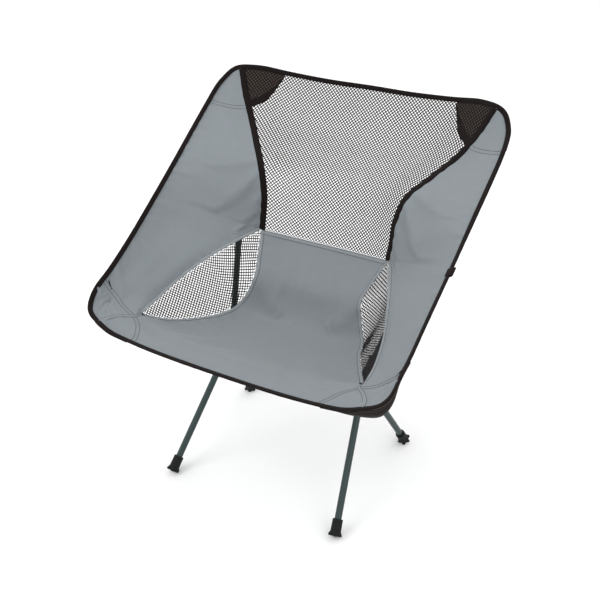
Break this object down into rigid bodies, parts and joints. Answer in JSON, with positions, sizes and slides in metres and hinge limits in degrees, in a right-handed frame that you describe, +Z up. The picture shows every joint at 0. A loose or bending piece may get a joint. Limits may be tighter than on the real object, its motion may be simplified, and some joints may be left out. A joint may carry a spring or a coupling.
{
  "type": "ultralight backpacking chair",
  "caption": "Low folding camp chair: a bucket-shaped fabric sling with mesh back and side windows, stretched over the tips of a shock-corded pole frame on moulded hubs, with splayed legs.",
  "frame": {"origin": "on the ground under the middle of the chair, at the centre of its box in plan", "axes": "+X to the sitter's left, as seen on the right from the front; +Y from the front edge to the back; +Z up"},
  "size_m": [0.5616, 0.5267, 0.6577],
  "materials": {
    "anodised_tube": "dark green-grey anodised, satin",
    "moulded_nylon": "matt black moulded",
    "foot_rubber": "near-black, matt",
    "elastic_cord": "braided elastic",
    "grey_fabric": "bluish grey ripstop polyester, matt",
    "black_mesh": "black perforated mesh",
    "black_webbing": "black-brown woven tape"
  },
  "bodies": {
    "sling_frame": {"leg_cord_front_right": "elastic_cord", "pole_tip_front_right": "moulded_nylon", "pocket_front_right": "black_webbing", "leg_cord_rear_right": "elastic_cord", "pole_tip_rear_right": "moulded_nylon", "pocket_rear_right": "black_webbing", "hub_right": "moulded_nylon", "seat_pole_right": "anodised_tube", "back_pole_lower_right": "anodised_tube", "back_pole_upper_right": "anodised_tube", "ferrule_right": "anodised_tube", "seat_pole_cord_right": "elastic_cord", "back_pole_cord_right": "elastic_cord", "side_panel_right": "grey_fabric", "window_mesh_right": "black_mesh", "binding_right": "black_webbing", "seam_tape_right": "black_webbing", "leg_cord_front_left": "elastic_cord", "pole_tip_front_left": "moulded_nylon", "pocket_front_left": "black_webbing", "leg_cord_rear_left": "elastic_cord", "pole_tip_rear_left": "moulded_nylon", "pocket_rear_left": "black_webbing", "hub_left": "moulded_nylon", "seat_pole_left": "anodised_tube", "back_pole_lower_left": "anodised_tube", "back_pole_upper_left": "anodised_tube", "ferrule_left": "anodised_tube", "seat_pole_cord_left": "elastic_cord", "back_pole_cord_left": "elastic_cord", "side_panel_left": "grey_fabric", "window_mesh_left": "black_mesh", "binding_left": "black_webbing", "seam_tape_left": "black_webbing", "crossbar": "anodised_tube", "crossbar_cord": "elastic_cord", "seat_panel": "grey_fabric", "back_mesh": "black_mesh", "binding_front": "black_webbing", "binding_top": "black_webbing", "loop_tab": "black_webbing"},
    "leg_body_front_right": {"leg_front_right": "anodised_tube", "foot_front_right": "foot_rubber"},
    "leg_body_rear_right": {"leg_rear_right": "anodised_tube", "foot_rear_right": "foot_rubber"},
    "leg_body_front_left": {"leg_front_left": "anodised_tube", "foot_front_left": "foot_rubber"},
    "leg_body_rear_left": {"leg_rear_left": "anodised_tube", "foot_rear_left": "foot_rubber"}
  },
  "joints": [
    {"name": "leg_pull_front_right", "type": "slide", "parent": "sling_frame", "child": "leg_body_front_right", "axis": [0.1237, -0.6186, -0.7759], "range_m": [0, 0.03], "stiffness_N_per_m": 60, "springref_m": -0.05},
    {"name": "leg_pull_rear_right", "type": "slide", "parent": "sling_frame", "child": "leg_body_rear_right", "axis": [0.1658, 0.5212, -0.8371], "range_m": [0, 0.03], "stiffness_N_per_m": 60, "springref_m": -0.05},
    {"name": "leg_pull_front_left", "type": "slide", "parent": "sling_frame", "child": "leg_body_front_left", "axis": [-0.1237, -0.6186, -0.7759], "range_m": [0, 0.03], "stiffness_N_per_m": 60, "springref_m": -0.05},
    {"name": "leg_pull_rear_left", "type": "slide", "parent": "sling_frame", "child": "leg_body_rear_left", "axis": [-0.1658, 0.5212, -0.8371], "range_m": [0, 0.03], "stiffness_N_per_m": 60, "springref_m": -0.05}
  ]
}
